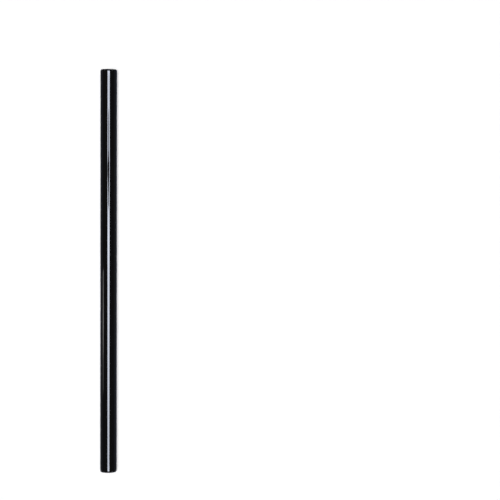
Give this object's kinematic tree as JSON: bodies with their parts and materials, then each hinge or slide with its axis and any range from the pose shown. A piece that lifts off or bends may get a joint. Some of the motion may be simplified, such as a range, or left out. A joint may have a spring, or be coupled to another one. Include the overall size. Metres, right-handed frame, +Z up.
{
  "type": "glass drinking straw",
  "caption": "Straight drinking straw of drawn black glass tube, with an open bore and flame-rounded rims, lying on its side.",
  "frame": {"origin": "on the ground under the middle of the straw, halfway along its length and halfway across its diameter", "axes": "+Y along the straw's own axis, +Z up from the ground that it lies on"},
  "size_m": [0.008, 0.195, 0.008],
  "materials": {
    "black_glass": "fire-polished gloss, black right through"
  },
  "bodies": {
    "root": {"straw": "black_glass"}
  },
  "joints": []
}
